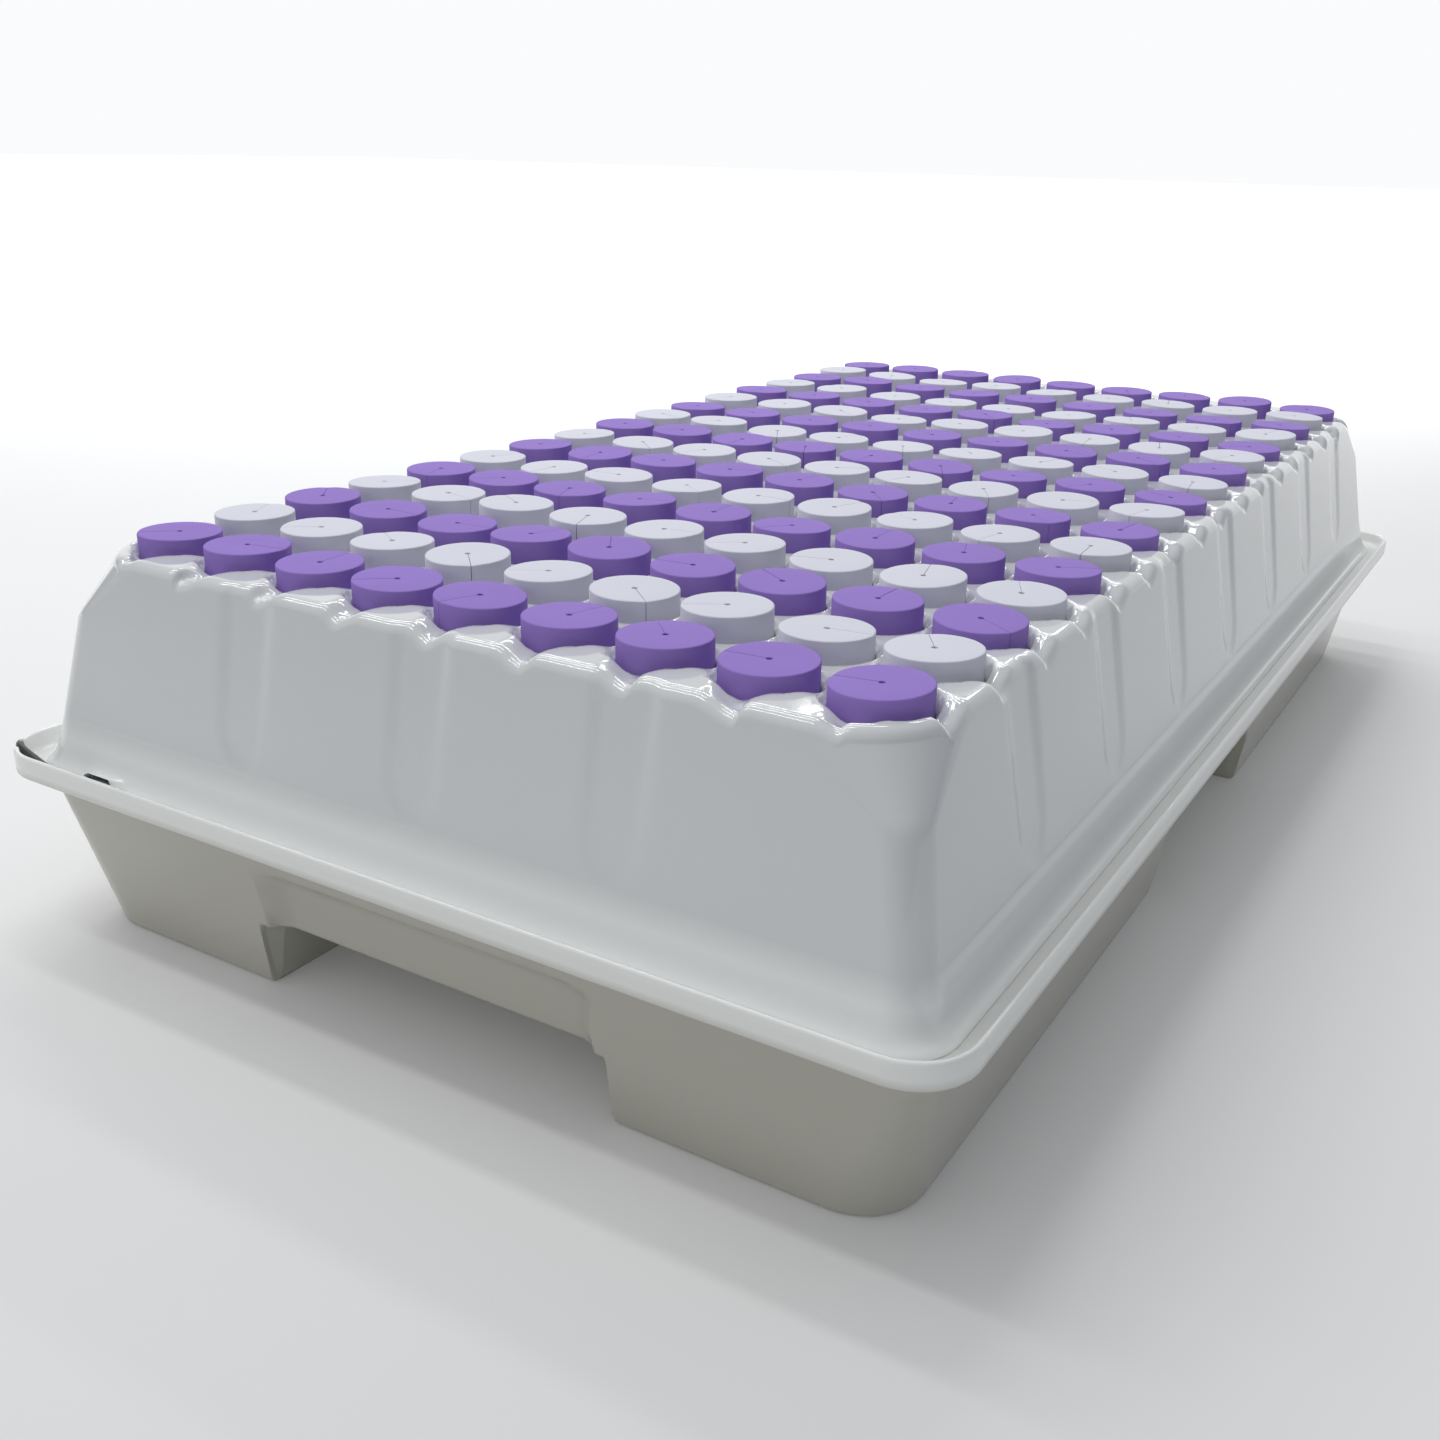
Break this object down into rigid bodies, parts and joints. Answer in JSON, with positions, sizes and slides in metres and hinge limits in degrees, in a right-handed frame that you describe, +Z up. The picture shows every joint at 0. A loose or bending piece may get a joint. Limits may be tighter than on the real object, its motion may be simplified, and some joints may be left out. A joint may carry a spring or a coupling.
{
  "type": "aeroponic propagation tray",
  "caption": "Low rectangular reservoir on four foot blocks with a tall formed lid carrying a grid of slit foam collars, and a pump with a spray manifold inside.",
  "frame": {"origin": "on the floor at the centre of the four foot blocks", "axes": "+Z up, +Y along the long side of the tray towards its back end, +X along the short side to the right of a viewer at the cord end"},
  "size_m": [0.6853, 1.128, 0.2525],
  "materials": {
    "reservoir_plastic": "smooth formed sheet, semi-gloss",
    "lid_plastic": "smooth formed sheet, glossy",
    "purple_foam": "matt closed-cell foam",
    "white_foam": "matt closed-cell foam",
    "pump_plastic": "fine moulded texture",
    "potting_resin": "cast resin",
    "seal_rubber": "soft matt",
    "ceramic_shaft": "ground ceramic",
    "ferrite": "sintered magnet",
    "impeller_plastic": "moulded",
    "dial_plastic": "moulded",
    "pipe_plastic": "extruded, satin",
    "fitting_plastic": "moulded, satin",
    "nozzle_plastic": "moulded",
    "cord_rubber": "smooth jacket",
    "plug_plastic": "moulded",
    "pin_brass": "bright"
  },
  "bodies": {
    "reservoir": {"reservoir_tray": "reservoir_plastic", "cord_grommet": "seal_rubber", "pump_housing": "pump_plastic", "pump_stator": "potting_resin", "pump_end_cap": "pump_plastic", "pump_cord_gland": "cord_rubber", "pump_base": "pump_plastic", "suction_cups": "seal_rubber", "rotor_shaft": "ceramic_shaft", "shaft_bushing": "seal_rubber", "pump_lead": "cord_rubber", "power_cord": "cord_rubber", "power_cord_coil": "cord_rubber", "power_cord_tail": "cord_rubber", "cord_tie": "dial_plastic", "power_plug": "plug_plastic", "plug_pins": "pin_brass"},
    "lid": {"lid_shell": "lid_plastic", "collar_row_01": "purple_foam", "collar_row_02": "white_foam", "collar_row_03": "purple_foam", "collar_row_04": "white_foam", "collar_row_05": "purple_foam", "collar_row_06": "white_foam", "collar_row_07": "purple_foam", "collar_row_08": "white_foam", "collar_row_09": "purple_foam", "collar_row_10": "white_foam", "collar_row_11": "purple_foam", "collar_row_12": "white_foam", "collar_row_13": "purple_foam", "collar_row_14": "white_foam", "collar_row_15": "purple_foam", "collar_row_16": "white_foam", "collar_row_17": "purple_foam"},
    "front_collar": {"collar_front_right": "purple_foam"},
    "pump_cover": {"intake_cover": "pump_plastic", "intake_strainer": "pump_plastic"},
    "dial": {"flow_dial": "dial_plastic"},
    "rotor": {"impeller": "impeller_plastic", "rotor_magnet": "ferrite"},
    "manifold": {"manifold_rails": "pipe_plastic", "manifold_headers": "pipe_plastic", "manifold_elbows": "fitting_plastic", "header_tees": "fitting_plastic", "riser_tee": "fitting_plastic", "riser_pipe": "pipe_plastic", "spray_nozzles": "nozzle_plastic", "manifold_stands": "fitting_plastic"}
  },
  "joints": [
    {"name": "lid_lift", "type": "slide", "parent": "reservoir", "child": "lid", "axis": [0, 0, 1], "range_m": [0, 0.16]},
    {"name": "collar_pull", "type": "slide", "parent": "lid", "child": "front_collar", "axis": [0, 0, 1], "range_m": [0, 0.04]},
    {"name": "manifold_lift", "type": "slide", "parent": "reservoir", "child": "manifold", "axis": [0, 0, 1], "range_m": [0, 0.05]},
    {"name": "cover_pull", "type": "slide", "parent": "reservoir", "child": "pump_cover", "axis": [0, 1, 0], "range_m": [0, 0.02]},
    {"name": "dial_turn", "type": "hinge", "parent": "pump_cover", "child": "dial", "pos_m": [-0.177, -0.2804, 0.038], "axis": [0, 1, 0], "range_deg": [0, 90]},
    {"name": "impeller_spin", "type": "hinge", "parent": "reservoir", "child": "rotor", "pos_m": [-0.177, -0.31, 0.038], "axis": [0, 1, 0], "continuous": true}
  ]
}
